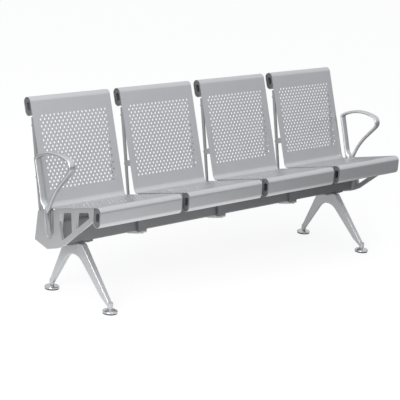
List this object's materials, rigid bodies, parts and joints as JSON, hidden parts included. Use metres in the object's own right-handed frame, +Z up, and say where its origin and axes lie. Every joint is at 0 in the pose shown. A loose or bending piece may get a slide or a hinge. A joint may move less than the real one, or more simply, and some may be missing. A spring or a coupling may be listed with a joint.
{
  "type": "beam seating",
  "caption": "Public waiting bench: perforated metal seat and back panels side by side on one beam, loop armrests at the ends, splayed legs with levelling glides.",
  "frame": {"origin": "on the floor, below the middle of the bench's bounding box", "axes": "+X along the beam to the sitter's left, -Y the way the seats face, +Z up"},
  "size_m": [1.944, 0.5088, 0.8187],
  "materials": {
    "panel_steel": "silver-grey metallic powder coat on pressed steel",
    "cast_aluminium": "satin silver-coated die casting",
    "armrest_aluminium": "polished satin casting",
    "beam_steel": "dark grey powder coat",
    "plug_plastic": "moulded dark grey",
    "fastener_steel": "zinc plated",
    "glide_chrome": "pressed and chromed",
    "glide_rubber": "matt"
  },
  "bodies": {
    "bench": {"beam": "beam_steel", "end_frame_left": "cast_aluminium", "end_frame_right": "cast_aluminium", "leg_plate_left": "beam_steel", "leg_plate_right": "beam_steel", "leg_left": "cast_aluminium", "leg_right": "cast_aluminium", "armrest_left": "armrest_aluminium", "armrest_right": "armrest_aluminium", "beam_saddle_1": "beam_steel", "beam_keel_1": "cast_aluminium", "seat_frame_1_right": "cast_aluminium", "seat_frame_2_left": "cast_aluminium", "beam_saddle_2": "beam_steel", "beam_keel_2": "cast_aluminium", "seat_frame_2_right": "cast_aluminium", "seat_frame_3_left": "cast_aluminium", "beam_saddle_3": "beam_steel", "beam_keel_3": "cast_aluminium", "seat_frame_3_right": "cast_aluminium", "seat_frame_4_left": "cast_aluminium", "seat_panel_1": "panel_steel", "back_panel_1": "panel_steel", "seat_roll_plugs_1": "plug_plastic", "back_roll_plugs_1": "plug_plastic", "seat_panel_2": "panel_steel", "back_panel_2": "panel_steel", "seat_roll_plugs_2": "plug_plastic", "back_roll_plugs_2": "plug_plastic", "seat_panel_3": "panel_steel", "back_panel_3": "panel_steel", "seat_roll_plugs_3": "plug_plastic", "back_roll_plugs_3": "plug_plastic", "seat_panel_4": "panel_steel", "back_panel_4": "panel_steel", "seat_roll_plugs_4": "plug_plastic", "back_roll_plugs_4": "plug_plastic", "seat_studs": "fastener_steel", "seat_stud_nuts": "fastener_steel", "back_studs": "fastener_steel", "back_stud_nuts": "fastener_steel", "frame_bolts": "fastener_steel", "frame_bolt_nuts": "fastener_steel", "keel_bolts": "fastener_steel", "leg_bolts": "fastener_steel", "leg_bolt_nuts": "fastener_steel", "leg_screws": "fastener_steel", "armrest_screws": "fastener_steel"},
    "foot_left_front": {"glide_dome_left_front": "glide_chrome", "glide_pad_left_front": "glide_rubber"},
    "stud_left_front": {"glide_stud_left_front": "fastener_steel"},
    "foot_left_rear": {"glide_dome_left_rear": "glide_chrome", "glide_pad_left_rear": "glide_rubber"},
    "stud_left_rear": {"glide_stud_left_rear": "fastener_steel"},
    "foot_right_front": {"glide_dome_right_front": "glide_chrome", "glide_pad_right_front": "glide_rubber"},
    "stud_right_front": {"glide_stud_right_front": "fastener_steel"},
    "foot_right_rear": {"glide_dome_right_rear": "glide_chrome", "glide_pad_right_rear": "glide_rubber"},
    "stud_right_rear": {"glide_stud_right_rear": "fastener_steel"}
  },
  "joints": [
    {"name": "foot_left_front_lift", "type": "slide", "parent": "bench", "child": "foot_left_front", "axis": [0, 0, 1], "range_m": [-0.012, 0]},
    {"name": "stud_left_front_turn", "type": "hinge", "parent": "foot_left_front", "child": "stud_left_front", "pos_m": [-0.803, -0.19, 0.03], "axis": [0, 0, 1], "range_deg": [-2880, 0]},
    {"name": "foot_left_rear_lift", "type": "slide", "parent": "bench", "child": "foot_left_rear", "axis": [0, 0, 1], "range_m": [-0.012, 0]},
    {"name": "stud_left_rear_turn", "type": "hinge", "parent": "foot_left_rear", "child": "stud_left_rear", "pos_m": [-0.803, 0.1805, 0.03], "axis": [0, 0, 1], "range_deg": [-2880, 0]},
    {"name": "foot_right_front_lift", "type": "slide", "parent": "bench", "child": "foot_right_front", "axis": [0, 0, 1], "range_m": [-0.012, 0]},
    {"name": "stud_right_front_turn", "type": "hinge", "parent": "foot_right_front", "child": "stud_right_front", "pos_m": [0.803, -0.19, 0.03], "axis": [0, 0, 1], "range_deg": [-2880, 0]},
    {"name": "foot_right_rear_lift", "type": "slide", "parent": "bench", "child": "foot_right_rear", "axis": [0, 0, 1], "range_m": [-0.012, 0]},
    {"name": "stud_right_rear_turn", "type": "hinge", "parent": "foot_right_rear", "child": "stud_right_rear", "pos_m": [0.803, 0.1805, 0.03], "axis": [0, 0, 1], "range_deg": [-2880, 0]}
  ],
  "couplings": [
    {"joint": "stud_left_front_turn", "follows": "foot_left_front_lift", "rad_per_m": 4188.8},
    {"joint": "stud_left_rear_turn", "follows": "foot_left_rear_lift", "rad_per_m": 4188.8},
    {"joint": "stud_right_front_turn", "follows": "foot_right_front_lift", "rad_per_m": 4188.8},
    {"joint": "stud_right_rear_turn", "follows": "foot_right_rear_lift", "rad_per_m": 4188.8}
  ]
}
